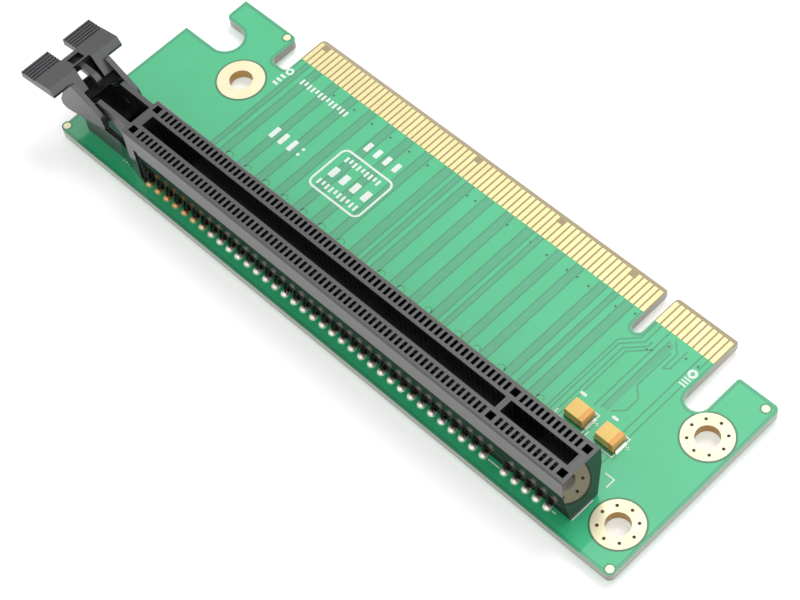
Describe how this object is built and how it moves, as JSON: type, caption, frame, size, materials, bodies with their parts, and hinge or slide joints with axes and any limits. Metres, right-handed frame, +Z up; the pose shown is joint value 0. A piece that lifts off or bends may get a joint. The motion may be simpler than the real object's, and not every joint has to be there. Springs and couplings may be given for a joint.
{
  "type": "card slot riser board",
  "caption": "Circuit board with a bevelled gold edge tongue on its back edge and a long upright card slot with a hinged retention latch near its front edge.",
  "frame": {"origin": "middle of the bounding box in plan, at the lowest point of the connector's pegs", "axes": "+X along the card slot from the latch to the short end, +Y from the slot toward the gold tongue, +Z up from the board to the slot's mouth"},
  "size_m": [0.1178, 0.0406, 0.016],
  "materials": {
    "board": "glossy solder mask",
    "gold": "gold plate",
    "contact": "gold plated spring",
    "solder": "tin solder",
    "housing": "glossy moulding",
    "latch": "satin moulding",
    "capacitor": "matt moulding",
    "terminal": "tinned sheet"
  },
  "bodies": {
    "card": {"capacitor_anode_one": "terminal", "capacitor_anode_two": "terminal", "capacitor_body_one": "capacitor", "capacitor_body_two": "capacitor", "capacitor_cathode_one": "terminal", "capacitor_cathode_two": "terminal", "capacitor_solder": "solder", "circuit_board": "board", "connector_housing": "housing", "contacts_far_long": "contact", "contacts_far_short": "contact", "contacts_near_long": "contact", "contacts_near_short": "contact", "edge_fingers_top_long": "gold", "edge_fingers_top_short": "gold", "edge_fingers_under_long": "gold", "edge_fingers_under_short": "gold", "mounting_ring_front": "gold", "mounting_ring_left": "gold", "mounting_ring_right": "gold", "solder_feet_far": "solder", "solder_feet_near": "solder", "solder_tails_far_inner": "solder", "solder_tails_far_outer": "solder", "solder_tails_near_inner": "solder", "solder_tails_near_outer": "solder"},
    "latch": {"retention_latch": "latch"}
  },
  "joints": [
    {"name": "latch_hinge", "type": "hinge", "parent": "card", "child": "latch", "pos_m": [-0.04503, -0.01354, 0.01092], "axis": [0, -1, 0], "range_deg": [0, 25]}
  ]
}
